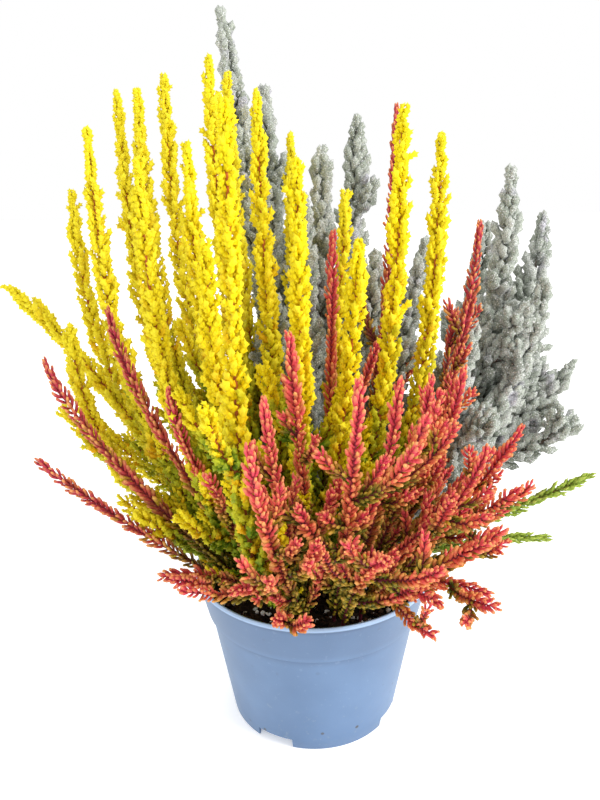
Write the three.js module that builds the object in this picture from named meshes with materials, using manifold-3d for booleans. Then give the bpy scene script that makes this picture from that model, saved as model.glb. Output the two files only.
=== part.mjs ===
import * as THREE from 'three';
import { mergeVertices } from 'three/addons/utils/BufferGeometryUtils.js';
import Module from 'manifold-3d';

// A potted heather: yellow, silver and red foliage heathers grown together in a 12 cm nursery pot.
// Millimetres, +Z up. The origin is on the surface that the pot stands on, under the middle of its base.

// Pot
const rimRadius = 60;
const potHeight = 80;
const footRadius = 43;
const wallThickness = 1.3;
const lipHeight = 1;
const lipInset = 0.7;
const collarHeight = 21.5;
const collarRadius = 54.6;
const collarStep = 1.5;
const stepSlope = 0.6;
const floorHeight = 5;
const floorThickness = 1.5;
const footTaper = 0.6;
const bossRadius = 15;
const bossTaper = 1;
const potSides = 36;
const notchAngles = [-117, -27, 63, 153];
const notchWidth = 19;
const notchHeight = 5.2;
const notchDepth = 12;
const drainRadius = 3.2;
const drainCircleRadius = 27;
const drainCount = 6;
const drainSides = 8;

const collarBottom = potHeight - collarHeight;
const bodyRadius = collarRadius - collarStep;
const floorTop = floorHeight + floorThickness;
const bodySlope = (bodyRadius - footRadius) / collarBottom;
const collarSlope = (rimRadius - collarRadius) / collarHeight;

// Soil
const soilHeight = 70;
const soilCrown = 1.5;
const soilEdgeDrop = 1;
const soilSides = 28;
const seatGap = 0.3;
const rootDepth = 12;

// Leafy stems. Each kind of heather is one clump: a root stands at clump + spread * (tip - fan), and the
// lower a stem's tip, the further out it roots.
const kinds = {
  yellow: {
    label: 'yellow_spike', colour: 0xe3cf22, clump: [-16, 2], fan: [-45, 0], spread: [0.3, 0.42],
    coreRadius: 1.3, shootLength: 6.4, shootRise: 0.55, bandLength: 16,
    branches: 0, branchLength: 36,
  },
  silver: {
    label: 'silver_spike', colour: 0x9aa391, clump: [14, 24], fan: [58, 55], spread: [0.26, 0.34],
    coreRadius: 1.9, shootLength: 7.4, shootRise: 0.6, bandLength: 17,
    branches: 2, branchLength: 46,
  },
  red: {
    label: 'red_spray', colour: 0xc8523f, clump: [6, -24], fan: [5, -62], spread: [0.31, 0.4],
    coreRadius: 1.2, shootLength: 5.2, shootRise: 0.7, bandLength: 15,
    branches: 3, branchLength: 42,
  },
  green: {
    label: 'green_sprig', colour: 0x7f9a3c, clump: [34, 4], fan: [125, -8], spread: [0.1, 0.8],
    coreRadius: 1.1, shootLength: 4.6, shootRise: 0.7, bandLength: 12,
    branches: 0, branchLength: 0,
  },
};
const middleTipHeight = 220;
const rootLift = 450;
const bareHeight = 15;
const shootGap = 0.5;
const coreGap = 0.7;
const smallestShoot = 0.3;
const shorten = 0.8;
const sampleStep = 2.5;
const soilRoom = 4;
const rimRoom = 1.5;
const rimDepth = 6;
const lastBandShare = 0.93;
const coreTaper = 0.45;

// Shoots are short at the foot of the leaves and at the tip, over these shares of the leafy part
const footShoot = { share: 0.6, zone: 0.2 };
const tipShoot = { share: 0.4, zone: 0.23 };

// Side branches: the part of the stem they start in, how far round it they turn, and their curve in
// shares of their reach
const branchStart = 8;
const branchZone = 0.5;
const branchStagger = 0.4;
const branchTurn = 40;
const branchTurnStep = 25;
const branchReaches = [1, 0.85, 0.7, 0.55];
const branchShape = { bendUp: 0.26, bendOut: 0.34, endUp: 0.84, endOut: 0.5, lift: 0.06 };
const branchFoot = 0.22;
const branchCore = 0.8;
const branchShoot = 0.8;
const besideBranch = 0.25;
const faceDrift = 6;
const facesTried = 8;

// Where each stem's tip is, seen from the front with +X to the right and +Y to the back, and how the stem
// bends: above 0 it leans out first and then stands up, below 0 it rises first and then arches over. A last
// number is how many side branches it has, where they aren't as many as its kind's.
const stems = [
  ['yellow', -146, 20, 217, -0.15, 1],
  ['yellow', -118, 40, 259, 1.6, 1],
  ['yellow', -107, -15, 202, 1.2, 2],
  ['yellow', -94, -5, 284, 2, 2],
  ['yellow', -95, 55, 306, 2],
  ['yellow', -76, 14, 302, 1.6],
  ['yellow', -69, 42, 312, 1.6],
  ['yellow', -66, -38, 271, 1.6, 2],
  ['yellow', -51, -12, 277, 1.2, 2],
  ['yellow', -42, 2, 312, 1],
  ['yellow', -38, 34, 311, 0.8],
  ['yellow', -28, -72, 287, 6, 2],
  ['yellow', -22, -2, 299, 0.6],
  ['yellow', -9, 42, 284, 0.2],
  ['yellow', -5, -25, 270, 0.4, 1],
  ['yellow', 16, 6, 258, 0.4],
  ['yellow', 19, -42, 240, 0.4, 1],
  ['yellow', 37, -24, 289, 2],
  ['yellow', 57, 0, 281, 2.2],
  ['yellow', -4, -52, 247, 0.6, 2],
  ['yellow', -40, -50, 240, 1.2, 2],
  ['silver', -42, 62, 342, 0],
  ['silver', -23, 82, 310, 0.3],
  ['silver', -3, 28, 255, 0.3],
  ['silver', 6, 52, 277, 0.3],
  ['silver', 26, 85, 295, 0.4],
  ['silver', 33, 38, 226, 0.3],
  ['silver', 61, 62, 230, 0.2, 3],
  ['silver', 104, 58, 266, 1.6, 4],
  ['silver', 101, 95, 237, 0.8],
  ['silver', 128, 78, 242, 1, 3],
  ['silver', 118, 38, 212, 0.9, 3],
  ['silver', 141, 54, 165, 0.15],
  ['silver', 81, 28, 193, 0.4, 1],
  ['silver', -17, 12, 209, 0.1],
  ['red', 40, 24, 296, 1.2],
  ['red', 78, 12, 245, 0.9],
  ['red', -114, -30, 192, 0.3, 0],
  ['red', -116, -42, 151, 0.1, 0],
  ['red', -86, -26, 213, 0.4, 0],
  ['red', -64, -55, 104, -0.2, 1],
  ['red', -60, -40, 181, 0.4, 1],
  ['red', -8, -62, 209, 0.2, 1],
  ['red', -21, -102, 179, 0.4, 1],
  ['red', -17, -82, 189, 0.3, 1],
  ['red', 10, -8, 242, 0.2],
  ['red', 16, -98, 200, 0.3],
  ['red', 32, -76, 194, 0.4],
  ['red', 47, -56, 190, 0.4],
  ['red', 64, -34, 187, 0.4],
  ['red', 85, -50, 167, 0.1, 2],
  ['red', 65, -76, 168, 0.2],
  ['red', 71, -70, 104, -0.5, 2],
  ['red', 46, -95, 116, -0.5],
  ['red', 25, -110, 142, -0.2],
  ['red', -30, -86, 116, -0.2],
  ['green', 136, 0, 125, 0.05],
  ['green', 113, -12, 98, -0.5],
];

const wasm = await Module();
wasm.setup();

const degrees = Math.PI / 180;
const goldenAngle = 137.5;
const up = new THREE.Vector3(0, 0, 1);

function polar(radius, angle, z) {
  return new THREE.Vector3(radius * Math.cos(angle), radius * Math.sin(angle), z);
}

// Booleans
function toManifold(geometry) {
  const bare = geometry.clone();
  bare.deleteAttribute('normal');
  bare.deleteAttribute('uv');
  const merged = mergeVertices(bare, 1e-4);
  const mesh = new wasm.Mesh({
    numProp: 3,
    vertProperties: new Float32Array(merged.attributes.position.array),
    triVerts: new Uint32Array(merged.index.array),
  });
  return new wasm.Manifold(mesh);
}

function toGeometry(manifold) {
  const mesh = manifold.getMesh();
  const geometry = new THREE.BufferGeometry();
  geometry.setAttribute('position', new THREE.BufferAttribute(new Float32Array(mesh.vertProperties), 3));
  geometry.setIndex(new THREE.BufferAttribute(new Uint32Array(mesh.triVerts), 1));
  return geometry;
}

// A solid turned from [radius, z] points, with the axis upright
function turned(profile, sides) {
  const points = profile.map(([radius, z]) => new THREE.Vector2(radius, z));
  return new THREE.LatheGeometry(points, sides).rotateX(Math.PI / 2);
}

function prism(sides, radius, bottom, top, turn) {
  const outline = new THREE.Shape();
  for (let i = 0; i < sides; i += 1) {
    const corner = polar(radius, turn + (i * 2 * Math.PI) / sides, 0);
    if (i === 0) outline.moveTo(corner.x, corner.y);
    else outline.lineTo(corner.x, corner.y);
  }
  outline.closePath();
  const depth = top - bottom;
  return new THREE.ExtrudeGeometry(outline, { depth, bevelEnabled: false }).translate(0, 0, bottom);
}

// The pot: one thin moulded shell with a flared collar, a raised floor on a middle boss and a foot ring
function makePot() {
  const footInside = footRadius - wallThickness;
  const profile = [
    [0, 0],
    [bossRadius, 0],
    [bossRadius + bossTaper, floorHeight],
    [footInside - footTaper, floorHeight],
    [footInside, 0],
    [footRadius, 0],
    [bodyRadius, collarBottom],
    [collarRadius, collarBottom + stepSlope],
    [rimRadius, potHeight - lipHeight],
    [rimRadius - lipInset, potHeight],
    [rimRadius - lipInset - wallThickness, potHeight - lipHeight / 2],
    [collarRadius - wallThickness, collarBottom + stepSlope + wallThickness / 2],
    [bodyRadius - wallThickness, collarBottom - wallThickness / 2],
    [footInside + bodySlope * floorTop, floorTop],
    [0, floorTop],
  ];
  let pot = toManifold(turned(profile, potSides));
  for (const angle of notchAngles) {
    const notch = new THREE.BoxGeometry(notchDepth, notchWidth, 2 * notchHeight);
    notch.translate(footRadius, 0, 0).rotateZ(angle * degrees);
    pot = pot.subtract(toManifold(notch));
  }
  for (let i = 0; i < drainCount; i += 1) {
    const hole = prism(drainSides, drainRadius, 0, 2 * floorTop, 0);
    const place = polar(drainCircleRadius, (i * 2 * Math.PI) / drainCount, 0);
    pot = pot.subtract(toManifold(hole.translate(place.x, place.y, 0)));
  }
  return toGeometry(pot);
}

// A stem's line above the soil
class StemCurve extends THREE.Curve {
  constructor(root, tip, bend) {
    super();
    this.root = root;
    this.tip = tip;
    this.bend = bend;
  }

  getPoint(t, target = new THREE.Vector3()) {
    const late = 1 + Math.abs(this.bend);
    const eased = 1 - (1 - t) ** late;
    const outward = this.bend < 0 ? t ** late : eased;
    const upward = this.bend < 0 ? eased : t;
    const reach = new THREE.Vector3(outward, outward, upward);
    return target.copy(this.tip).sub(this.root).multiply(reach).add(this.root);
  }
}

function stemCurve([kindName, x, y, z, bend]) {
  const kind = kinds[kindName];
  const lift = 1 + (middleTipHeight - z) / rootLift;
  const rootX = kind.clump[0] + lift * kind.spread[0] * (x - kind.fan[0]);
  const rootY = kind.clump[1] + lift * kind.spread[1] * (y - kind.fan[1]);
  const root = new THREE.Vector3(rootX, rootY, soilHeight + soilCrown + seatGap);
  return new StemCurve(root, new THREE.Vector3(x, y, z), bend);
}

// Distances between a point and the lines of the stems
const line = new THREE.Line3();
const nearest = new THREE.Vector3();

function sampled(curve) {
  const count = Math.max(4, Math.ceil(curve.getLength() / sampleStep));
  return curve.getSpacedPoints(count);
}

function distanceTo(points, place) {
  let best = Infinity;
  for (let i = 1; i < points.length; i += 1) {
    line.set(points[i - 1], points[i]).closestPointToPoint(place, true, nearest);
    best = Math.min(best, nearest.distanceTo(place));
  }
  return best;
}

// Places that belong to the pot and the soil
function inPotZone(place) {
  const radius = Math.hypot(place.x, place.y);
  const byRim = place.z < potHeight + rimRoom && radius > rimRadius - rimDepth;
  return byRim || place.z < soilHeight + soilRoom;
}

// A leafy solid: a slim three-sided core. A plain band is a prism. A leafy band turns the core a sixth of a
// turn, which leaves six slanting faces, and each is raised to a point as a side shoot.
class LeafySolid {
  constructor() {
    this.corners = [];
    this.faces = [];
  }

  add(place) {
    this.corners.push(place.clone());
    return this.corners.length - 1;
  }

  ring(centre, across, tangent, radius, turn) {
    const sideways = new THREE.Vector3().crossVectors(tangent, across);
    const ring = [];
    for (let k = 0; k < 3; k += 1) {
      const angle = turn + k * 120 * degrees;
      const corner = centre.clone().addScaledVector(across, radius * Math.cos(angle));
      ring.push(this.add(corner.addScaledVector(sideways, radius * Math.sin(angle))));
    }
    return ring;
  }

  plainBand(lower, upper) {
    for (let k = 0; k < 3; k += 1) {
      const next = (k + 1) % 3;
      this.faces.push([lower[k], lower[next], upper[next]]);
      this.faces.push([lower[k], upper[next], upper[k]]);
    }
  }

  leafyBand(lower, upper) {
    const band = [];
    for (let k = 0; k < 3; k += 1) {
      const next = (k + 1) % 3;
      band.push([lower[k], lower[next], upper[k]]);
      band.push([lower[next], upper[next], upper[k]]);
    }
    return band;
  }

  centre(face) {
    const middle = new THREE.Vector3();
    for (const corner of face) middle.addScaledVector(this.corners[corner], 1 / 3);
    return middle;
  }

  raise(face, place) {
    const point = this.add(place);
    for (let k = 0; k < 3; k += 1) this.faces.push([face[k], face[(k + 1) % 3], point]);
  }

  geometry() {
    const geometry = new THREE.BufferGeometry();
    const places = this.corners.flatMap((place) => place.toArray());
    geometry.setAttribute('position', new THREE.Float32BufferAttribute(places, 3));
    geometry.setIndex(this.faces.flat());
    return geometry;
  }
}

// The core of one run, a stem or a side branch, on from a ring that is already there up to its pointed tip.
// Its spots are the faces that shoots and branches grow from.
function growCore(solid, curve, kind, start, from) {
  const leafy = 1 - from;
  const bands = Math.max(2, Math.round((curve.getLength() * leafy) / kind.bandLength));
  const spots = [];
  let { ring, across, turn } = start;
  for (let i = 0; i < bands; i += 1) {
    const share = i === bands - 1 ? (i + lastBandShare) / bands : (i + 1) / bands;
    const top = from + leafy * share;
    const tangent = curve.getTangentAt(top);
    across = across.clone().projectOnPlane(tangent).normalize();
    turn += 60 * degrees;
    const radius = kind.coreRadius * coreShare(share);
    const upper = solid.ring(curve.getPointAt(top), across, tangent, radius, turn);
    solid.leafyBand(ring, upper).forEach((face, number) => {
      const along = (i + (number % 2 === 0 ? 1 : 2) / 3) / bands;
      const at = from + leafy * along;
      spots.push(spotOn(solid, face, curve, at, along));
    });
    ring = upper;
  }
  solid.raise(ring, curve.getPointAt(1));
  return { curve, points: sampled(curve), spots };
}

function spotOn(solid, face, curve, at, along) {
  const foot = curve.getPointAt(at);
  const tangent = curve.getTangentAt(at);
  const middle = solid.centre(face);
  const side = middle.clone().sub(foot).projectOnPlane(tangent).normalize();
  return { face, at, along, foot, tangent, middle, side };
}

function coreShare(along) {
  return 1 - coreTaper * along;
}

// A stem stands in the soil, comes up bare and then carries leaves to its tip
function growStem(row, index) {
  const kind = kinds[row[0]];
  const curve = stemCurve(row);
  const solid = new LeafySolid();
  const turn = stemTurn(index);
  const bottom = curve.root.clone().setZ(soilHeight - rootDepth);
  let across = new THREE.Vector3(1, 0, 0);
  let ring = solid.ring(bottom, across, up, kind.coreRadius, turn);
  solid.faces.push([ring[0], ring[2], ring[1]]);
  const leafFoot = bareHeight / curve.getLength();
  for (const share of [0, 0.5, 1]) {
    const at = share * leafFoot;
    const tangent = share === 0 ? up : curve.getTangentAt(at);
    across = across.clone().projectOnPlane(tangent).normalize();
    const upper = solid.ring(curve.getPointAt(at), across, tangent, kind.coreRadius, turn);
    solid.plainBand(ring, upper);
    ring = upper;
  }
  const main = growCore(solid, curve, kind, { ring, across, turn }, leafFoot);
  return { kind, index, branches: row[5] ?? kind.branches, solid, runs: [main], taken: [] };
}

function stemTurn(index) {
  return index * goldenAngle * degrees;
}

const plants = stems.map(growStem);

// Side branches leave the stem on alternate sides, each from the face that looks most nearly its way, as
// long as there is room for them
function addBranches(plant) {
  const { kind, index, branches, runs } = plant;
  const { curve, spots } = runs[0];
  const lowest = (bareHeight + branchStart) / curve.getLength();
  const heading = Math.atan2(curve.tip.y - curve.root.y, curve.tip.x - curve.root.x);
  for (let k = 0; k < branches; k += 1) {
    const start = lowest + (branchZone * (k + branchStagger)) / branches;
    const aside = branchTurn + branchTurnStep * ((index + k) % 3);
    const wanted = polar(1, heading + (k % 2 === 0 ? aside : -aside) * degrees, 0);
    const score = (spot) => spot.side.dot(wanted) - faceDrift * Math.abs(spot.at - start);
    const best = spots.filter((spot) => isFree(plant, spot)).sort((a, b) => score(b) - score(a));
    best.slice(0, facesTried).some((spot) => growBranch(plant, spot));
  }
}

function isFree(plant, spot) {
  return plant.taken.every((face) => sharedCorners(face, spot.face) === 0);
}

function sharedCorners(face, other) {
  return face.filter((corner) => other.includes(corner)).length;
}

// A branch grows out of a face of the stem, and its first ring is turned to match that face's far corner
function growBranch(plant, spot) {
  const { kind, solid } = plant;
  const curve = roomyCurve(plant, spot);
  if (!curve) return false;
  const tangent = curve.getTangentAt(branchFoot);
  const spokes = spot.face.map((corner) => solid.corners[corner].clone().sub(spot.middle));
  const far = spokes.reduce((best, spoke, k) => (spoke.length() > spokes[best].length() ? k : best), 0);
  const across = spokes[far].clone().projectOnPlane(tangent).normalize();
  const turn = -far * 120 * degrees;
  const ring = solid.ring(curve.getPointAt(branchFoot), across, tangent, branchCore * kind.coreRadius, turn);
  solid.plainBand(spot.face, ring);
  plant.runs.push(growCore(solid, curve, kind, { ring, across, turn }, branchFoot));
  plant.taken.push(spot.face);
  return true;
}

function roomyCurve(plant, spot) {
  for (const share of branchReaches) {
    const curve = branchCurve(spot, plant.kind.branchLength * share);
    const points = sampled(curve);
    if (points.every((place, i) => i < 3 || hasRoom(place, plant))) return curve;
  }
  return null;
}

function branchCurve({ foot, tangent, side }, reach) {
  const { bendUp, bendOut, endUp, endOut, lift } = branchShape;
  const bend = foot.clone().addScaledVector(tangent, bendUp * reach).addScaledVector(side, bendOut * reach);
  const end = foot.clone().addScaledVector(tangent, endUp * reach).addScaledVector(side, endOut * reach);
  end.z += lift * reach;
  return new THREE.QuadraticBezierCurve3(foot, bend, end);
}

function hasRoom(place, plant) {
  if (inPotZone(place)) return false;
  const width = 2 * plant.kind.coreRadius + coreGap;
  for (const other of plants) {
    for (const run of other.runs) {
      if (run === plant.runs[0]) continue;
      if (distanceTo(run.points, place) < width) return false;
    }
  }
  return true;
}

plants.forEach(addBranches);

// A place may belong to a run if every other run is further from it than this one is
function belongsTo(run, place) {
  if (inPotZone(place)) return false;
  const own = distanceTo(run.points, place);
  for (const other of plants) {
    for (const near of other.runs) {
      if (near === run) continue;
      if (near.points[0].distanceTo(place) > near.span + own) continue;
      if (distanceTo(near.points, place) < own + shootGap) return false;
    }
  }
  return true;
}

for (const plant of plants) {
  for (const run of plant.runs) {
    run.span = Math.max(...run.points.map((place) => place.distanceTo(run.points[0]))) + shootGap;
  }
}

// The length of a shoot, as a share of the longest, from 0 at the foot of the leaves to 1 at the tip
function shootShare(along) {
  const foot = footShoot.share + (1 - footShoot.share) * Math.min(1, along / footShoot.zone);
  const tip = tipShoot.share + (1 - tipShoot.share) * Math.min(1, (1 - along) / tipShoot.zone);
  return foot * tip;
}

// Every face that no branch took is raised to a shoot, as long as the room about it allows
function growShoots(plant) {
  const { kind, solid, runs, taken } = plant;
  for (const run of runs) {
    const longest = run === runs[0] ? kind.shootLength : branchShoot * kind.shootLength;
    for (const spot of run.spots) {
      if (taken.includes(spot.face)) continue;
      const shared = Math.max(0, ...taken.map((face) => sharedCorners(face, spot.face)));
      const share = shared === 0 ? 1 : besideBranch;
      const length = shared > 1 ? smallestShoot : longest * shootShare(spot.along) * share;
      solid.raise(spot.face, shootPoint(spot, run, kind.shootRise, length));
    }
  }
  return solid.geometry();
}

function shootPoint({ middle, side, tangent }, run, rise, length) {
  const lean = side.clone().addScaledVector(tangent, rise);
  let reach = length;
  let point = middle.clone().addScaledVector(lean, reach);
  while (reach > smallestShoot && !belongsTo(run, point)) {
    reach *= shorten;
    point = middle.clone().addScaledVector(lean, reach);
  }
  return point;
}

// The soil: a plug of peat with a low crown and a plain hole for each stem
function makeSoil() {
  const clear = wallThickness + lipInset + seatGap;
  const edgeHeight = soilHeight - soilEdgeDrop;
  const edgeRadius = collarRadius + collarSlope * (edgeHeight - collarBottom) - clear;
  const profile = [
    [0, floorTop + seatGap],
    [footRadius + bodySlope * floorTop - clear, floorTop + seatGap],
    [bodyRadius - clear, collarBottom],
    [edgeRadius, edgeHeight],
    [edgeRadius / 2, soilHeight + soilCrown / 2],
    [0, soilHeight + soilCrown],
  ];
  const holes = plants.map(({ runs, kind, index }) => {
    const { root } = runs[0].curve;
    const radius = kind.coreRadius + 2 * seatGap;
    const top = soilHeight + 2 * soilCrown;
    const hole = prism(3, radius, soilHeight - rootDepth - seatGap, top, stemTurn(index));
    return toManifold(hole.translate(root.x, root.y, 0));
  });
  return toGeometry(toManifold(turned(profile, soilSides)).subtract(wasm.Manifold.union(holes)));
}

function named(name, geometry, colour, roughness) {
  const material = new THREE.MeshStandardMaterial({ color: colour, roughness, metalness: 0 });
  const mesh = new THREE.Mesh(geometry, material);
  mesh.name = name;
  return mesh;
}

const pottedHeather = new THREE.Group();
pottedHeather.add(named('pot', makePot(), 0x8fb0d8, 0.45));
pottedHeather.add(named('soil', makeSoil(), 0x2a1f18, 0.95));

const counts = {};
for (const plant of plants) {
  const { label, colour } = plant.kind;
  counts[label] = (counts[label] ?? 0) + 1;
  const name = `${label}_${String(counts[label]).padStart(2, '0')}`;
  pottedHeather.add(named(name, growShoots(plant), colour, 0.7));
}

export default pottedHeather;
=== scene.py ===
import math
import random
from itertools import combinations

import bmesh
import bpy
from mathutils import Matrix, Quaternion, Vector, noise
from mathutils.geometry import interpolate_bezier


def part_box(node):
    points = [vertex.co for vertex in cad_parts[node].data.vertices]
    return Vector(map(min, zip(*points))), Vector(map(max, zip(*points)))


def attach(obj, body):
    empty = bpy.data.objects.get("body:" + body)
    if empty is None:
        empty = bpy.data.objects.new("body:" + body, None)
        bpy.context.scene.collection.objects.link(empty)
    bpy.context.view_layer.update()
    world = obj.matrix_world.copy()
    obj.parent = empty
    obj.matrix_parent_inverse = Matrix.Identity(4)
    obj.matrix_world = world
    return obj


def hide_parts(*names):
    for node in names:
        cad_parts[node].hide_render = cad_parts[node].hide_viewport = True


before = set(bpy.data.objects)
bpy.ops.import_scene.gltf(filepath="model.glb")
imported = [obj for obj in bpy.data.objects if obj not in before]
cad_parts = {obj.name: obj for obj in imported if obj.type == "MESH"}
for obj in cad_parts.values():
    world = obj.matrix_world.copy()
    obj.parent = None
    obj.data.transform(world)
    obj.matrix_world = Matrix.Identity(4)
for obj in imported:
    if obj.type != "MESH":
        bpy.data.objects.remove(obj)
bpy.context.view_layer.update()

upward = Vector((0, 0, 1))
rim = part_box("pot")[1]   # its x is the rim's radius and its z the rim's height


# Colours and finishes

def shade(code):  # a colour as it looks on a screen, "#rrggbb", turned into light values
    values = [int(code[i:i + 2], 16) / 255 for i in (1, 3, 5)]
    return (*[((v + 0.055) / 1.055) ** 2.4 if v > 0.04 else v / 12.92 for v in values], 1)


def shades(codes):
    return {key: shade(code) for key, code in codes.items()}


class Wire:  # a socket of a material, so that sums on it are written as Python
    def __init__(self, tree, socket=None):
        self.tree = tree
        self.socket = socket

    def node(self, kind, settings, values, out=0):
        made = self.tree.nodes.new(kind)
        for key, value in settings.items():
            if key == "stops":
                fillRamp(made.color_ramp, value)
            else:
                setattr(made, key, value)
        for key, value in values.items():
            if isinstance(value, Wire):
                self.tree.links.new(value.socket, made.inputs[key])
            else:
                made.inputs[key].default_value = value
        return Wire(self.tree, made.outputs[out])

    def math(self, operation, a, b=0.0):
        return self.node("ShaderNodeMath", {"operation": operation}, {0: a, 1: b})

    def __add__(self, other):
        return self.math("ADD", self, other)

    def __radd__(self, other):
        return self.math("ADD", other, self)

    def __sub__(self, other):
        return self.math("SUBTRACT", self, other)

    def __rsub__(self, other):
        return self.math("SUBTRACT", other, self)

    def __mul__(self, other):
        return self.math("MULTIPLY", self, other)

    def __rmul__(self, other):
        return self.math("MULTIPLY", other, self)

    def larger(self, other):
        return self.math("MAXIMUM", self, other)

    def wave(self):
        return self.math("SINE", self)

    def part(self, axis):  # the X, Y or Z of a vector
        return self.node("ShaderNodeSeparateXYZ", {}, {0: self}, axis)

    def within(self, low, high):  # 0 below low, 1 above high, and smooth between them
        settings = {"interpolation_type": "SMOOTHSTEP"}
        return self.node("ShaderNodeMapRange", settings, {"Value": self, "From Min": low, "From Max": high})

    def mix(self, first, second):  # this socket is the share of the second colour
        return self.node("ShaderNodeMix", {"data_type": "RGBA"}, {0: self, 6: first, 7: second}, 2)

    def ramp(self, stops):
        return self.node("ShaderNodeValToRGB", {"stops": stops}, {0: self})

    def noise(self, scale, detail):
        values = {"Vector": self, "Scale": scale, "Detail": detail}
        return self.node("ShaderNodeTexNoise", {}, values, "Fac")

    def cells(self, scale):
        return self.node("ShaderNodeTexVoronoi", {}, {"Vector": self, "Scale": scale}, "Distance")

    def bump(self, strength, distance):
        values = {"Height": self, "Strength": strength, "Distance": distance}
        return self.node("ShaderNodeBump", {}, values)


def fillRamp(ramp, stops):
    while len(ramp.elements) < len(stops):
        ramp.elements.new(1)
    for element, (place, colour) in zip(ramp.elements, stops):
        element.position = place
        element.color = colour


class Finish:  # a material with its Principled shader, and the wires that most finishes start from
    def __init__(self, name, **fixed):
        self.material = bpy.data.materials.new(name)
        self.material.use_nodes = True
        tree = self.material.node_tree
        self.shader = tree.nodes["Principled BSDF"]
        self.start = Wire(tree)
        self.place = self.start.node("ShaderNodeTexCoord", {}, {}, "Object")
        for key, value in fixed.items():
            self.shader.inputs[key.replace("_", " ")].default_value = value

    def attribute(self, name):
        found = self.start.node("ShaderNodeAttribute", {"attribute_name": name}, {}, "Vector")
        return [found.part(axis) for axis in "XYZ"]

    def value(self, name):
        return self.start.node("ShaderNodeAttribute", {"attribute_name": name}, {}, "Fac")

    def set(self, **wires):
        for key, wire in wires.items():
            wire.tree.links.new(wire.socket, self.shader.inputs[key.replace("_", " ")])
        return self.material


# Pieces

def finishedPiece(name, bm, materials, slot, *nodes):
    bmesh.ops.recalc_face_normals(bm, faces=bm.faces)
    mesh = bpy.data.meshes.new(name)
    bm.to_mesh(mesh)
    bm.free()
    for material in materials:
        mesh.materials.append(material)
    mesh.polygons.foreach_set("use_smooth", [True] * len(mesh.polygons))
    piece = bpy.data.objects.new(name, mesh)
    bpy.context.scene.collection.objects.link(piece)
    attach(piece, "root")
    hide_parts(*nodes)
    return piece


def triangles(piece):
    return sum(len(face.vertices) - 2 for face in piece.data.polygons)


# The pot

potShape = {
    "sides": 96,
    "rimRadius": 0.060,
    "height": 0.080,
    "footRadius": 0.043,
    "wall": 0.0013,
    "lip": 0.0010,
    "lipInset": 0.0007,
    "beadHeight": 0.0024,
    "beadOut": 0.0009,
    "collarHeight": 0.0215,
    "collarRadius": 0.0546,
    "collarStep": 0.0015,
    "stepSlope": 0.0003,
    "floorHeight": 0.005,
    "floorThickness": 0.0015,
    "footTaper": 0.0006,
    "bossRadius": 0.015,
    "bossTaper": 0.001,
    "rounding": 0.0003,
    "roundingSteps": 2,
    "roundedFrom": 20,
    "sharpAngle": 32,
    "notchTurns": [-117, -27, 63, 153],
    "notchSize": (0.012, 0.019, 0.0104),
    "ringAboveNotch": 0.6,
    "drainRadius": 0.0032,
    "drainDepth": 0.008,
    "drainSides": 20,
    "drainCircle": 0.027,
    "drainCount": 6,
}


def potProfile():
    p = potShape
    collarBottom = p["height"] - p["collarHeight"]
    body = p["collarRadius"] - p["collarStep"]
    inside = p["footRadius"] - p["wall"]
    floorTop = p["floorHeight"] + p["floorThickness"]
    slope = (body - p["footRadius"]) / collarBottom
    evenHeight = p["notchSize"][2] * p["ringAboveNotch"]
    return [
        (0, 0),
        (p["bossRadius"], 0),
        (p["bossRadius"] + p["bossTaper"], p["floorHeight"]),
        (inside - p["footTaper"], p["floorHeight"]),
        (inside, 0),
        (p["footRadius"], 0),
        (p["footRadius"] + slope * evenHeight, evenHeight),
        (body, collarBottom),
        (p["collarRadius"], collarBottom + p["stepSlope"]),
        (p["rimRadius"] - p["beadOut"], p["height"] - p["beadHeight"]),
        (p["rimRadius"], p["height"] - p["beadHeight"] + p["beadOut"] / 2),
        (p["rimRadius"], p["height"] - p["lip"]),
        (p["rimRadius"] - p["lipInset"], p["height"]),
        (p["rimRadius"] - p["lipInset"] - p["wall"], p["height"] - p["lip"] / 2),
        (p["collarRadius"] - p["wall"], collarBottom + p["stepSlope"] + p["wall"] / 2),
        (body - p["wall"], collarBottom - p["wall"] / 2),
        (inside + slope * floorTop, floorTop),
        (0, floorTop),
    ]


def spunShape(profile, sides):
    bm = bmesh.new()
    verts = [bm.verts.new((radius, 0, z)) for radius, z in profile]
    edges = [bm.edges.new(pair) for pair in zip(verts, verts[1:])]
    turn = {"cent": (0, 0, 0), "axis": (0, 0, 1), "angle": math.tau, "steps": sides}
    bmesh.ops.spin(bm, geom=verts + edges, use_merge=True, **turn)
    bmesh.ops.remove_doubles(bm, verts=bm.verts, dist=0.000005)
    bmesh.ops.recalc_face_normals(bm, faces=bm.faces)
    return bm


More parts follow.
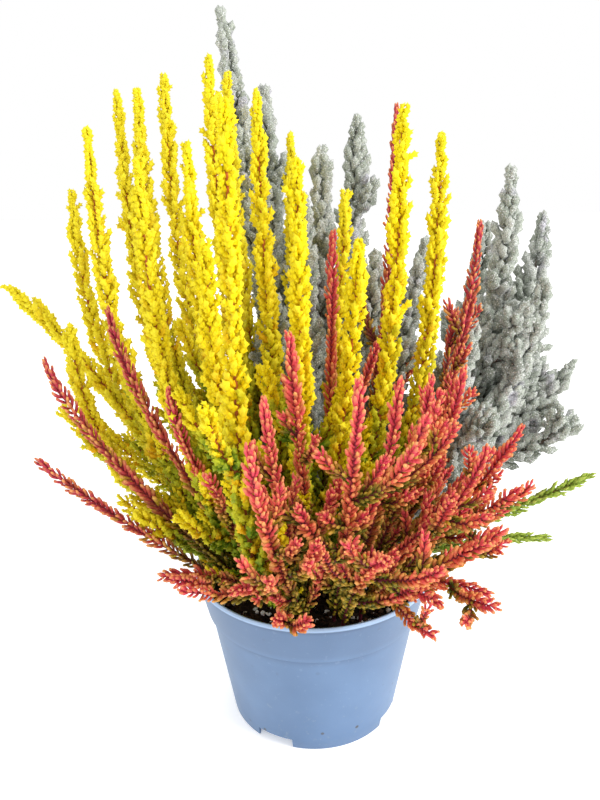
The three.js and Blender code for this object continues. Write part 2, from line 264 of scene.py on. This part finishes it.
def cutPot(pot):
    p = potShape
    bm = bmesh.new()
    for turn in p["notchTurns"]:
        place = Matrix.Rotation(math.radians(turn), 4, "Z") @ Matrix.Translation((p["footRadius"], 0, 0))
        bmesh.ops.create_cube(bm, size=1, matrix=place @ Matrix.Diagonal((*p["notchSize"], 1)))
    for i in range(p["drainCount"]):
        turn = Matrix.Rotation(math.tau * i / p["drainCount"], 4, "Z")
        place = turn @ Matrix.Translation((p["drainCircle"], 0, p["floorHeight"]))
        sizes = {"radius1": p["drainRadius"], "radius2": p["drainRadius"], "depth": p["drainDepth"]}
        bmesh.ops.create_cone(bm, cap_ends=True, segments=p["drainSides"], matrix=place, **sizes)
    mesh = bpy.data.meshes.new("notches")
    bm.to_mesh(mesh)
    bm.free()
    cutter = bpy.data.objects.new("notches", mesh)
    bpy.context.scene.collection.objects.link(cutter)
    cut = pot.modifiers.new("notches", "BOOLEAN")
    cut.operation = "DIFFERENCE"
    cut.solver = "EXACT"
    cut.object = cutter
    bpy.context.view_layer.update()
    evaluated = pot.evaluated_get(bpy.context.evaluated_depsgraph_get())
    carved = bpy.data.meshes.new_from_object(evaluated)
    pot.modifiers.clear()
    pot.data = carved
    bpy.data.objects.remove(cutter)


potColours = {
    "dark": "#5a779c",
    "pale": "#6583a9",
    "shadow": "#4d6484",
    # lip: a painted highlight along the top of the rim
    "lip": "#b4d0f2",
    "dust": "#7d8a93",
    "specks": "#4a4440",
    "scuffs": "#c4d8ee",
}
potMarks = {  # how far each mark reaches from the edge that it follows
    "underStep": 0.005,
    "stepEdge": 0.0003,
    "underBead": 0.002,
    "beadEdge": (0.0003, 0.0008),
    "collar": 0.004,
    "lip": (0.0022, 0.0012),
    "dirt": (0.012, 0.040),
}


def potFinish():
    p = potShape
    m = potMarks
    c = shades(potColours)
    look = Finish("pot_plastic", Specular_IOR_Level=0.45, Coat_Roughness=0.35)
    cloud = look.place.noise(28, 3)
    fine = look.place.noise(900, 2)
    plastic = cloud.within(0.3, 0.75).mix(c["dark"], c["pale"])
    height = look.place.part("Z")
    step = p["height"] - p["collarHeight"]
    bead = p["height"] - p["beadHeight"]
    beadLow, beadHigh = m["beadEdge"]
    lipLow, lipHigh = m["lip"]
    nearStep = height.within(step - m["underStep"], step)
    underStep = nearStep * (1 - height.within(step, step + m["stepEdge"]))
    nearBead = height.within(bead - m["underBead"], bead)
    underBead = nearBead * (1 - height.within(bead + beadLow, bead + beadHigh))
    collar = height.within(step, step + m["collar"]) * 0.35
    shadow = (underStep * 0.5 + underBead * 0.6 + collar).mix(plastic, c["shadow"])
    # painted highlight: the top of the lip is painted paler, where the light catches it
    lip = height.within(p["height"] - lipLow, p["height"] - lipHigh) * 0.8
    base = lip.mix(shadow, c["lip"])
    low = 1 - height.within(*m["dirt"])
    dust = look.place.noise(420, 5).within(0.58, 0.76) * (low * 0.45 + 0.05)
    dusty = dust.mix(base, c["dust"])
    specks = (1 - look.place.cells(115).within(0.07, 0.15)) * look.place.noise(50, 1).within(0.38, 0.44)
    spotted = (specks * (low * 0.75 + 0.15)).mix(dusty, c["specks"])
    scuff = look.place.noise(420, 6).within(0.62, 0.7)
    return look.set(
        Base_Color=(scuff * 0.09).mix(spotted, c["scuffs"]),
        Roughness=0.42 + dust * 0.35 + scuff * 0.12,
        Normal=(fine * 0.4 + cloud * 0.6).bump(0.12, 0.0004),
    )


def makePot():
    bm = spunShape(potProfile(), potShape["sides"])
    sharp = math.radians(potShape["roundedFrom"])
    corners = [e for e in bm.edges if len(e.link_faces) == 2 and e.calc_face_angle() > sharp]
    bmesh.ops.bevel(
        bm, geom=corners, offset=potShape["rounding"], affect="EDGES",
        segments=potShape["roundingSteps"], profile=0.5, material=-1,
    )
    pot = finishedPiece("nursery_pot", bm, [potFinish()], "pot", "pot")
    cutPot(pot)
    pot.data.set_sharp_from_angle(angle=math.radians(potShape["sharpAngle"]))
    print("pot made,", triangles(pot), "triangles")


makePot()


# The soil

soilShape = {
    "sides": 90,
    "rings": 22,
    "height": 0.070,
    "crown": 0.0015,
    "edgeDrop": 0.001,
    "gap": 0.0005,
    "footShare": 0.72,
    "stepInset": 0.004,
    "lumps": 0.0016,
    "lumpScale": 130,
    "lumpSink": 0.2,
    "levelEdge": 0.99,
    "seed": 4,
}
crumbShape = {
    "peatCount": 900,
    "peatSize": (0.0006, 0.0021),
    "perliteCount": 220,
    "perliteSize": (0.0008, 0.0017),
    "reach": 0.97,
    "lift": 0.15,
    "width": (0.5, 0.9),
    "thickness": (0.4, 0.8),
    "dentScale": 900,
    "dents": 0.35,
}


def soilFinish(name, dark, pale, sheen):
    look = Finish(name, Specular_IOR_Level=0.2)
    fine = look.place.noise(700, 4)
    patch = look.place.noise(140, 3)
    mixed = (fine * 0.6 + patch * 0.4).within(0.38, 0.66)
    return look.set(
        Base_Color=mixed.mix(shade(dark), shade(pale)),
        Roughness=1 - sheen * fine,
        Normal=fine.bump(0.7, 0.0006),
    )


def makeSoil():
    s = soilShape
    p = potShape
    draw = random.Random(s["seed"])
    noise.seed_set(s["seed"])  # without it noise_vector follows the clock
    low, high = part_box("soil")
    edge = high.x - s["gap"]
    top = s["height"]
    foot = rim.x * s["footShare"]
    profile = [(0, low.z), (foot, low.z), (edge - s["stepInset"], p["height"] - p["collarHeight"])]
    for i in range(s["rings"], -1, -1):
        share = i / s["rings"]
        rise = s["crown"] * (1 - share ** 2) - s["edgeDrop"] * share ** 8
        profile.append((edge * share, top + rise))
    bm = spunShape(profile, s["sides"])
    for vert in bm.verts:
        if vert.co.z > top - 2 * s["edgeDrop"] and vert.co.xy.length < edge * s["levelEdge"]:
            vert.co.z += s["lumps"] * (noise.fractal(vert.co * s["lumpScale"], 1, 2, 3) - s["lumpSink"])
    scatter(bm, draw, edge, "peat", 1)
    scatter(bm, draw, edge, "perlite", 2)
    finishes = [
        soilFinish("peat", "#120c08", "#3a2a1e", 0.1),
        soilFinish("peat_crumbs", "#1b120c", "#57402e", 0.1),
        soilFinish("perlite", "#d8d4ca", "#ffffff", 0.2),
    ]
    soil = finishedPiece("peat_soil", bm, finishes, "soil", "soil")
    print("soil made,", triangles(soil), "triangles")


def scatter(bm, draw, edge, kind, material):
    c = crumbShape
    for _ in range(c[kind + "Count"]):
        angle = draw.uniform(0, math.tau)
        radius = edge * c["reach"] * math.sqrt(draw.random())
        size = draw.uniform(*c[kind + "Size"])
        crown = soilShape["crown"] * (1 - (radius / edge) ** 2)
        height = soilShape["height"] + crown + size * c["lift"]
        place = Matrix.Translation((radius * math.cos(angle), radius * math.sin(angle), height))
        turn = Quaternion((draw.random(), draw.random(), draw.random()), draw.uniform(0, 6))
        width = size * draw.uniform(*c["width"])
        thickness = size * draw.uniform(*c["thickness"])
        matrix = place @ turn.to_matrix().to_4x4() @ Matrix.Diagonal((size, width, thickness, 1))
        made = bmesh.ops.create_icosphere(bm, subdivisions=1, radius=1, matrix=matrix)["verts"]
        for vert in made:
            vert.co += noise.noise_vector(vert.co * c["dentScale"]) * size * c["dents"]
        for face in {face for vert in made for face in vert.link_faces}:
            face.material_index = material


makeSoil()


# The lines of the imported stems

# A packed stem has a slim core of three-sided rings, with a point raised on each face between them. The finer
# stems follow the middles of the rings.
coreShape = {
    "ringEdge": 0.0034,
    "evenness": 1.03,
    "bandEdges": 6,
    "buried": 0.02,
}


def readRuns(node):  # the lines of a stem and of its side branches, each from foot to tip
    bm = bmesh.new()
    bm.from_mesh(node.data)
    bmesh.ops.remove_doubles(bm, verts=bm.verts, dist=0.00001)
    floor = min(vert.co.z for vert in bm.verts) + coreShape["buried"]
    points = {vert for vert in bm.verts if len(vert.link_edges) == 3 and vert.co.z > floor}
    rings = []
    ringOf = {}
    for vert in bm.verts:
        if vert in points or vert in ringOf:
            continue
        ring = ringAround(vert, points)
        ringOf.update({corner: len(rings) for corner in ring})
        rings.append(ring)
    links = {number: {} for number in range(len(rings))}
    for edge in bm.edges:
        a, b = (ringOf.get(vert) for vert in edge.verts)
        if a is not None and b is not None and a != b:
            links[a][b] = links[a].get(b, 0) + 1
            links[b][a] = links[b].get(a, 0) + 1
    middles = [sum((vert.co for vert in ring), Vector()) / len(ring) for ring in rings]
    start = min(range(len(rings)), key=lambda number: middles[number].z)
    chains = [chainFrom(start, links, set())]
    used = set(chains[0])
    for number in sorted(set(range(len(rings))) - used, key=lambda number: tuple(middles[number])):
        if any(other in chains[0] for other in links[number]):
            chains.append(chainFrom(number, links, used))
            used.update(chains[-1])
    runs = []
    for chain in chains:
        line = [middles[number].copy() for number in chain]
        if chain is not chains[0]:
            line.insert(0, branchFoot(rings[chain[0]], ringOf, set(chains[0])))
        last = set(rings[chain[-1]])
        line += [v.co.copy() for v in points if {e.other_vert(v) for e in v.link_edges} == last]
        runs.append(line)
    bm.free()
    return runs


def ringAround(vert, points):  # the three corners of a ring are evenly spaced
    near = [edge.other_vert(vert) for edge in vert.link_edges if edge.calc_length() < coreShape["ringEdge"]]
    for pair in combinations([other for other in near if other not in points], 2):
        sides = [(a.co - b.co).length for a, b in combinations((vert, *pair), 2)]
        if max(sides) < min(sides) * coreShape["evenness"]:
            return [vert, *pair]
    return [vert]


def chainFrom(number, links, used):  # two rings of one run share more edges than a branch and its stem do
    chain = [number]
    while True:
        bands = [n for n, count in links[chain[-1]].items() if count == coreShape["bandEdges"]]
        ahead = [n for n in bands if n not in used and n not in chain]
        if not ahead:
            return chain
        chain.append(ahead[0])


def branchFoot(ring, ringOf, stem):
    corners = {edge.other_vert(vert) for vert in ring for edge in vert.link_edges}
    feet = [corner.co for corner in corners if ringOf.get(corner) in stem]
    return sum(feet, Vector()) / len(feet)


def smoothLine(points, step):
    line = []
    for i, (a, b) in enumerate(zip(points, points[1:])):
        before = points[max(i - 1, 0)]
        after = points[min(i + 2, len(points) - 1)]
        reach = (b - a).length / 3
        out = a + (b - before).normalized() * reach
        back = b - (after - a).normalized() * reach
        count = max(2, round((b - a).length / step) + 1)
        line += interpolate_bezier(a, out, back, b, count)[:-1]
    return line + [points[-1]]


def framesAlong(points, step):  # at each step a matrix with Z along the line and an X that doesn't twist
    line = smoothLine(points, step)
    turn = (line[1] - line[0]).to_track_quat("Z", "X")
    frames = []
    for i, spot in enumerate(line):
        ahead = line[min(i + 1, len(line) - 1)] - line[max(i - 1, 0)]
        turn = (turn @ upward).rotation_difference(ahead) @ turn
        frames.append(Matrix.Translation(spot) @ turn.to_matrix().to_4x4())
    return frames


# The side shoots

# One shoot for each kind, standing along Z and one unit long. Where leafOut isn't 0, a small leaf is raised
# on each side of each band between its rings. A ring is a reach and a radius.
shootShape = {
    "yellow": {
        "sides": 4, "twist": 14, "curl": 38, "leafOut": 0.15, "leafUp": 0.10,
        "rings": [(0, 0.07), (0.30, 0.115), (0.58, 0.115), (0.84, 0.075)],
    },
    "silver": {
        "sides": 4, "twist": 30, "curl": 30, "leafOut": 0.14, "leafUp": 0.10,
        "rings": [(0, 0.10), (0.45, 0.17), (0.82, 0.16)],
    },
    "red": {
        "sides": 4, "twist": 45, "curl": 22, "leafOut": 0, "leafUp": 0,
        "rings": [(0, 0.09), (0.25, 0.125), (0.60, 0.145), (0.88, 0.125)],
    },
    "green": {
        "sides": 4, "twist": 20, "curl": 22, "leafOut": 0.08, "leafUp": 0.10,
        "rings": [(0, 0.07), (0.40, 0.09), (0.76, 0.07)],
    },
}


def tallness(face):
    heights = [vert.co.z for vert in face.verts]
    return max(heights) - min(heights)


def makeShoot(name, look):
    bm = bmesh.new()
    growth = bm.verts.layers.float_vector.new("growth")
    edge = bm.verts.layers.float.new("edge")
    height, radius = look["rings"][0]
    bmesh.ops.create_circle(bm, segments=look["sides"], radius=radius, cap_ends=True)
    top = bm.faces[:][0]
    turn = Matrix.Rotation(math.radians(look["twist"]), 4, "Z")
    for reach, wide in look["rings"][1:]:
        top = bmesh.ops.extrude_discrete_faces(bm, faces=[top])["faces"][0]
        widen = Matrix.Diagonal((wide / radius, wide / radius, 1, 1))
        grow = Matrix.Translation((0, 0, reach - height)) @ turn @ widen
        bmesh.ops.transform(bm, matrix=grow, verts=top.verts)
        radius = wide
        height = reach
    flanks = [face for face in bm.faces if tallness(face) > 0.01]
    if look["leafOut"]:
        for vert in bmesh.ops.poke(bm, faces=flanks)["verts"]:
            vert.co += vert.co.xy.normalized().to_3d() * look["leafOut"] + upward * look["leafUp"]
            vert[edge] = 1
    tip = bmesh.ops.poke(bm, faces=[top])["verts"][0]
    tip.co.z = 1
    tip[edge] = 1
    bmesh.ops.recalc_face_normals(bm, faces=bm.faces)
    for vert in bm.verts:
        vert[growth] = (vert.co.z, 0, 0)
        bend = Matrix.Rotation(-math.radians(look["curl"]) * vert.co.z, 3, "Y")
        vert.co = bend @ vert.co
    mesh = bpy.data.meshes.new(name)
    bm.to_mesh(mesh)
    bm.free()
    return mesh


class Stamp:  # a small mesh that is set down many times in a larger one
    def __init__(self, mesh):
        self.mesh = mesh
        count = len(mesh.vertices)
        self.rest = [0.0] * count * 3
        mesh.vertices.foreach_get("co", self.rest)
        self.growth = [0.0] * count * 3
        mesh.attributes["growth"].data.foreach_get("vector", self.growth)

    def put(self, bm, matrix, along, tone):
        self.mesh.vertices.foreach_set("co", self.rest)
        self.mesh.transform(matrix)
        self.growth[1::3] = [along] * len(self.mesh.vertices)
        self.growth[2::3] = [tone] * len(self.mesh.vertices)
        self.mesh.attributes["growth"].data.foreach_set("vector", self.growth)
        bm.from_mesh(self.mesh)


# The leafy stems

stemLook = {
    "yellow": {
        "pairStep": 0.0021, "lowLength": 0.0100, "highLength": 0.0076, "lean": 60, "twigRadius": 0.0010,
        "rootRadius": 0.0014, "branchShare": 0.85, "spread": 14, "bareFoot": 0.022,
        "twigGap": 0.012, "twigsTo": 0.40, "twigLength": (0.014, 0.028), "twigLean": (30, 55),
    },
    "silver": {
        "pairStep": 0.0022, "lowLength": 0.0122, "highLength": 0.0100, "lean": 58, "twigRadius": 0.0014,
        "rootRadius": 0.0018, "branchShare": 0.95, "spread": 24, "bareFoot": 0.022,
        "twigGap": 0.011, "twigsTo": 0.8, "twigLength": (0.010, 0.018), "twigLean": (20, 40),
    },
    "red": {
        "pairStep": 0.0014, "lowLength": 0.0062, "highLength": 0.0052, "lean": 50, "twigRadius": 0.0007,
        "rootRadius": 0.0011, "branchShare": 0.9, "spread": 8, "bareFoot": 0.018,
        "twigGap": 0.014, "twigsTo": 0.8, "twigLength": (0.012, 0.026), "twigLean": (30, 60),
        "denseWay": (0.6, -0.8), "denseFrom": 0.012,
    },
    "green": {
        "pairStep": 0.0014, "lowLength": 0.0078, "highLength": 0.0066, "lean": 42, "twigRadius": 0.0006,
        "rootRadius": 0.0010, "branchShare": 0.8, "spread": 10, "bareFoot": 0.022,
        "twigGap": 0.018, "twigsTo": 0.6, "twigLength": (0.010, 0.016), "twigLean": (30, 45),
    },
}
growing = {
    "twigSides": 5,
    "twigStep": 4,
    "twigTip": 0.5,
    "footZone": 0.10,
    "footLength": 0.75,
    "tipZone": 0.08,
    "tipLength": 0.72,
    "uprightZone": 0.15,
    "uprightShare": 0.5,
    "waveLength": 0.013,
    "waveShare": 0.28,
    "pairTurn": 1.5,
    "tiltSpread": 7,
    "spinSpread": 25,
    "lengths": (0.82, 1.12),
    "sunkFoot": 0.4,
    "endShoot": 0.7,
    "branchStart": 0.002,
    "firstTwig": (0.5, 1),
    "twigGaps": (0.7, 1.3),
    "twigRise": 0.5,
    "clearance": 0.002,
}


def shootLength(look, along, spot):  # shorter at the foot of the leaves and at the tip, in slow waves between
    g = growing
    foot = g["footLength"] + (1 - g["footLength"]) * min(1, along / g["footZone"])
    tip = g["tipLength"] + (1 - g["tipLength"]) * min(1, (1 - along) / g["tipZone"])
    wave = 1 + g["waveShare"] * noise.noise(spot / g["waveLength"])
    return (look["lowLength"] * (1 - along) + look["highLength"] * along) * foot * tip * wave


def growTwig(bm, frames, look, radiusShare, tone):
    layer = bm.verts.layers.float_vector["growth"]
    kept = frames[::growing["twigStep"]]
    thick = look["rootRadius"] * radiusShare
    sizes = {"segments": growing["twigSides"], "radius": thick, "cap_ends": True}
    made = bmesh.ops.create_circle(bm, matrix=kept[0], **sizes)["verts"]
    top = next(iter(made[0].link_faces))
    before = kept[0]
    for number, place in enumerate(kept[1:], 1):
        along = number / (len(kept) - 1)
        size = (1 - along) * look["rootRadius"] + along * look["twigRadius"] * growing["twigTip"]
        top = bmesh.ops.extrude_discrete_faces(bm, faces=[top])["faces"][0]
        scale = size * radiusShare / thick
        move = place @ Matrix.Diagonal((scale, scale, 1, 1)) @ before.inverted()
        bmesh.ops.transform(bm, matrix=move, verts=top.verts)
        for vert in top.verts:
            vert[layer] = (0, along, tone)
        thick = size * radiusShare
        before = place


def growShoots(bm, stamp, frames, look, draw, first, share):
    g = growing
    leafy = frames[first:]
    for number, place in enumerate(leafy):
        along = number / len(leafy)
        size = share * shootLength(look, along, place.translation)
        upright = max(0, along - 1 + g["uprightZone"]) / g["uprightZone"]
        lean = look["lean"] * (1 - g["uprightShare"] * upright)
        for half in (0, 180):
            turn = 90 * (number % 2) + half + number * g["pairTurn"] + draw.gauss(0, look["spread"])
            tilt = lean + draw.gauss(0, g["tiltSpread"])
            length = size * draw.uniform(*g["lengths"])
            matrix = shootPlace(place, turn, tilt, length, look, draw)
            if clearPlace(matrix @ upward):
                stamp.put(bm, matrix, along, draw.random())
    end = frames[-1] @ Matrix.Translation((0, 0, look["highLength"] * (g["endShoot"] - 1)))
    stamp.put(bm, end @ Matrix.Scale(look["highLength"] * g["endShoot"], 4), 1, draw.random())


def shootPlace(place, turn, tilt, length, look, draw):
    around = Matrix.Rotation(math.radians(turn), 4, "Z")
    out = Matrix.Translation((look["twigRadius"] * growing["sunkFoot"], 0, 0))
    outward = Matrix.Rotation(math.radians(tilt), 4, "Y")
    spin = Matrix.Rotation(math.radians(draw.gauss(0, growing["spinSpread"])), 4, "Z")
    return place @ around @ out @ outward @ spin @ Matrix.Scale(length, 4)


def clearPlace(spot):  # tests one spot, so a shoot whose tip is clear can still touch the rim with its foot
    clearance = growing["clearance"]
    radius = spot.xy.length
    aboveRim = spot.z > rim.z + clearance
    aboveSoil = spot.z > soilShape["height"] + clearance
    insideRim = radius < rim.x - 2 * clearance and aboveSoil
    outsideRim = radius > rim.x + clearance
    return aboveRim or insideRim or outsideRim


def sideTwigs(frames, look, draw):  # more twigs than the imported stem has, in among its leaves
    twigs = []
    foot = frames[0].translation
    away = Vector(look.get("denseWay", (0, 0))).dot(foot.xy)
    if away < look.get("denseFrom", 0):
        return twigs
    step = look["twigGap"] / look["pairStep"]
    place = step * draw.uniform(*growing["firstTwig"]) + look["bareFoot"] / look["pairStep"]
    while place < len(frames) * look["twigsTo"]:
        start = frames[round(place)]
        length = draw.uniform(*look["twigLength"])
        lean = math.radians(draw.uniform(*look["twigLean"]))
        way = Matrix.Rotation(draw.uniform(0, math.tau), 4, "Z") @ Matrix.Rotation(lean, 4, "Y")
        heading = (start @ way).to_3x3() @ upward
        middle = start.translation + heading * length * 0.5
        end = middle + (heading + upward * growing["twigRise"]).normalized() * length * 0.5
        if clearPlace(end) and clearPlace(middle) and end.z > start.translation.z:
            twigs.append(framesAlong([start.translation, middle, end], look["pairStep"]))
        place += step * draw.uniform(*growing["twigGaps"])
    return twigs


def growStem(name, kind, stamp, materials):
    look = stemLook[kind]
    draw = random.Random(name)
    bm = bmesh.new()
    bm.verts.layers.float_vector.new("growth")
    bm.verts.layers.float.new("edge")
    runs = [framesAlong(points, look["pairStep"]) for points in readRuns(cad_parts[name])]
    twigs = [twig for frames in runs for twig in sideTwigs(frames, look, draw)]
    shares = [1] + [look["branchShare"]] * (len(runs) - 1) + [look["branchShare"] ** 2] * len(twigs)
    for frames, share in zip(runs + twigs, shares):
        growTwig(bm, frames, look, share, draw.random())
    for face in bm.faces:
        face.material_index = 1
    for number, (frames, share) in enumerate(zip(runs + twigs, shares)):
        bare = look["bareFoot"] if number == 0 else growing["branchStart"]
        growShoots(bm, stamp, frames, look, draw, round(bare / look["pairStep"]), share)
    return finishedPiece(name.replace("_", "_leafy_", 1), bm, materials, kind + "_foliage", name)


# The leaves and the bark

# The darkest colours of each kind are the colours of painted shade.
foliageLook = {
    "yellow": {
        "tipLow": "#d3d834", "shadeToneLow": "#3a5808", "shadeTone": "#c09c00", "low": "#6a9214", "body": "#fae000",
        "high": "#ffec00", "tip": "#fff23c", "far": "#f4e62e",
        "other": "#f4b400", "bark": "#6a3a1c", "barkHigh": "#c0662c",
    },
    "silver": {
        "shadeTone": "#3a4438", "low": "#a2a99c", "body": "#b8beb2", "high": "#c8cbc3", "tip": "#ffffff",
        "other": "#c3b9d4", "bark": "#4a4034", "barkHigh": "#6a6258",
    },
    "red": {
        "tipLow": "#c9a838", "shadeToneLow": "#33300c", "shadeTone": "#84262a", "low": "#5f6312", "body": "#ea6652",
        "high": "#e24c60", "tip": "#ffbc6c", "far": "#9c2c40",
        "other": "#b09a22", "bark": "#551a26", "barkHigh": "#8f2c3e",
    },
    "green": {
        "tipLow": "#a9c04e", "shadeToneLow": "#3c500f", "shadeTone": "#3c500f", "low": "#6f8a24", "body": "#8ba83a",
        "high": "#98b244", "tip": "#cfd866", "far": "#98b244",
        "other": "#9a8a4a", "bark": "#5a3a24", "barkHigh": "#7a5232",
    },
}
leafGapShade = {"yellow": 0.45, "red": 0, "green": 0.3}  # how dark the painted shade between the small leaves is
farPlace = {"side": (-0.09, -0.03), "depth": (-0.02, 0.015), "share": 0.65}  # leaves at the left and the back, away from the key lamp: painted shade on the red, a paler tint on the yellow


def leafFinish(kind):
    c = shades(foliageLook[kind])
    look = Finish(kind + "_leaves", Specular_IOR_Level=0.2)
    shoot, stem, tone = look.attribute("growth")
    edge = look.value("edge")
    patch = look.place.noise(55, 2)
    fine = look.place.noise(1400, 2)
    climb = stem + (patch - 0.5) * 0.5 + (tone - 0.5) * 0.25
    body = climb.ramp([(0.18, c["low"]), (0.56, c["body"]), (0.88, c["high"])])
    # painted shade on the side away from the key lamp: the red leaves at the left and the back are darker,
    # the yellow ones paler
    left = 1 - look.place.part("X").within(*farPlace["side"])
    back = look.place.part("Y").within(*farPlace["depth"])
    shadeSided = (left.larger(back) * farPlace["share"]).mix(body, c["far"])
    other = (tone.within(0.72, 1.0) * (1 - stem.within(0.3, 1.1))).mix(shadeSided, c["other"])
    # painted shade: each shoot is darker towards its foot, inside the spray
    innerShade = (1 - shoot.within(-0.1, 0.35)) * 0.75
    # painted shade in the valleys between the small leaves
    gapShade = (1 - edge.within(0, 0.4)) * (1 - shoot.within(0.7, 1.0)) * leafGapShade[kind]
    high = climb.within(0.12, 0.62)
    # the colour of painted shade, from the low one at the foot of the stems to the high one above
    shadeTone = high.mix(c["shadeToneLow"], c["shadeTone"])
    pale = high.mix(c["tipLow"], c["tip"])
    # painted shade on the lowest leaves of each stem, near the soil
    foot = (1 - climb.within(0, 0.25)) * 0.5
    # the three painted shades are mixed towards the colour of painted shade
    dark = innerShade.larger(gapShade).larger(foot).mix(other, shadeTone)
    tip = shoot.within(0.5, 1.0) * (0.35 + tone * 0.5)
    tipped = tip.mix(dark, pale)
    raised = (edge.within(0.3, 1.0) * 0.35).mix(tipped, pale)
    mottled = (fine.within(0.35, 0.7) * 0.2).mix(raised, shadeTone)
    scales = (shoot * 26).wave() * 0.5 + fine
    return look.set(Base_Color=mottled, Roughness=0.45 + fine * 0.3, Normal=scales.bump(0.4, 0.0003))


def woolFinish(kind):
    c = shades(foliageLook[kind])
    look = Finish(kind + "_wool", Specular_IOR_Level=0.2, Sheen_Weight=0.3)
    shoot, stem, tone = look.attribute("growth")
    edge = look.value("edge")
    patch = look.place.noise(60, 2)
    fine = look.place.noise(1500, 2)
    tufts = 1 - look.place.cells(820).within(0.14, 0.42)
    body = (patch + (tone - 0.5) * 0.3).ramp([(0.3, c["low"]), (0.5, c["body"]), (0.7, c["high"])])
    lilac = (look.place.noise(90, 1).within(0.6, 0.75) * 0.5).mix(body, c["other"])
    # painted shade: darker towards the foot of the stems
    foot = ((1 - stem.within(0.05, 0.6)) * 0.4).mix(lilac, c["shadeTone"])
    # painted shade: each shoot is darker towards its foot, inside the spray
    innerShade = ((1 - shoot.within(-0.1, 0.5)) * 0.85).mix(foot, c["shadeTone"])
    # painted shade in the pits between the tufts
    pitShade = (fine.within(0.46, 0.58) * 0.5).mix(innerShade, c["shadeTone"])
    hairs = (tufts * (edge.within(0, 0.8) * 0.3 + 0.6)).mix(pitShade, c["tip"])
    relief = (fine * 0.5 + tufts * 0.5).bump(0.9, 0.0006)
    return look.set(Base_Color=hairs, Roughness=0.8 + fine * 0.2, Normal=relief)


def barkFinish(kind):
    c = shades(foliageLook[kind])
    look = Finish(kind + "_bark", Specular_IOR_Level=0.25)
    stem = look.attribute("growth")[1]
    fine = look.place.noise(1200, 3)
    climb = stem * 0.8 + (fine - 0.5) * 0.6 + 0.1
    return look.set(
        Base_Color=climb.within(0, 1).mix(c["bark"], c["barkHigh"]),
        Roughness=0.6 + fine * 0.3,
        Normal=fine.bump(0.6, 0.0003),
    )


def growPlant():
    for kind, look in shootShape.items():
        stamp = Stamp(makeShoot(kind + "_shoot", look))
        leaves = woolFinish(kind) if kind == "silver" else leafFinish(kind)
        materials = [leaves, barkFinish(kind)]
        names = sorted(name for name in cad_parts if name.startswith(kind))
        grown = [growStem(name, kind, stamp, materials) for name in names]
        print(kind, "stems grown:", len(grown), "with", sum(triangles(piece) for piece in grown), "triangles")
        bpy.data.meshes.remove(stamp.mesh)


growPlant()


# Floor, light and camera

cameraView = {
    "place": (0, -0.321, 0.264),
    "focalPixels": 700,
    "longSidePixels": 800,
    "pitch": 17,
    "yaw": -0.97,
    "roll": -0.81,
    "sensorWidth": 36,
    "clip": (0.02, 50),
}
studio = {
    "floorSize": 6,
    "floorGlow": 0.35,
    "paper": ("#f6f6f5", "#f9f9f8"),
    "aimHeight": 0.15,
    "sky": (1, 1, 1, 1),
    "skyStrength": 1.0,
    "key": {"place": (1.3, -0.7, 1.1), "size": 0.7, "watts": 20},
    "fill": {"place": (-1.2, -0.8, 0.8), "size": 1.4, "watts": 2},
    "back": {"place": (0.2, 1.4, 1.2), "size": 1.2, "watts": 5},
}


def makeCamera():
    v = cameraView
    yaw, pitch, roll = (math.radians(v[key]) for key in ("yaw", "pitch", "roll"))
    forward = Vector((math.sin(yaw) * math.cos(pitch), math.cos(yaw) * math.cos(pitch), -math.sin(pitch)))
    right = Vector((math.cos(yaw), -math.sin(yaw), 0))
    above = right.cross(forward)
    across = right * math.cos(roll) + above * math.sin(roll)
    turned = above * math.cos(roll) - right * math.sin(roll)
    data = bpy.data.cameras.new("camera")
    data.sensor_width = v["sensorWidth"]
    data.lens = data.sensor_width * v["focalPixels"] / v["longSidePixels"]
    data.clip_start, data.clip_end = v["clip"]
    camera = bpy.data.objects.new("camera", data)
    axes = Matrix((across, turned, -forward)).transposed().to_4x4()
    camera.matrix_world = Matrix.Translation(v["place"]) @ axes
    bpy.context.scene.collection.objects.link(camera)
    bpy.context.scene.camera = camera


def makeFloor():
    bm = bmesh.new()
    bmesh.ops.create_grid(bm, x_segments=1, y_segments=1, size=studio["floorSize"])
    mesh = bpy.data.meshes.new("floor")
    bm.to_mesh(mesh)
    bm.free()
    look = Finish("floor_paper", Specular_IOR_Level=0.1)
    tone = look.place.noise(3, 1).within(0.2, 0.8).mix(*[shade(code) for code in studio["paper"]])
    mesh.materials.append(look.set(Base_Color=tone))
    look.shader.inputs["Emission Color"].default_value = studio["sky"]
    look.shader.inputs["Emission Strength"].default_value = studio["floorGlow"]
    floor = bpy.data.objects.new("floor", mesh)
    bpy.context.scene.collection.objects.link(floor)


def makeLight():
    world = bpy.data.worlds.new("studio")
    world.use_nodes = True
    world.node_tree.nodes["Background"].inputs["Color"].default_value = studio["sky"]
    world.node_tree.nodes["Background"].inputs["Strength"].default_value = studio["skyStrength"]
    bpy.context.scene.world = world
    for name in ("key", "fill", "back"):
        lamp = studio[name]
        data = bpy.data.lights.new(name, "AREA")
        data.size = lamp["size"]
        data.energy = lamp["watts"]
        light = bpy.data.objects.new(name, data)
        light.location = lamp["place"]
        light.rotation_mode = "QUATERNION"
        aim = Vector((0, 0, studio["aimHeight"])) - light.location
        light.rotation_quaternion = aim.to_track_quat("-Z", "Y")
        bpy.context.scene.collection.objects.link(light)
    bpy.context.scene.view_settings.view_transform = "Standard"


makeCamera()
makeFloor()
makeLight()
print("camera and studio set")
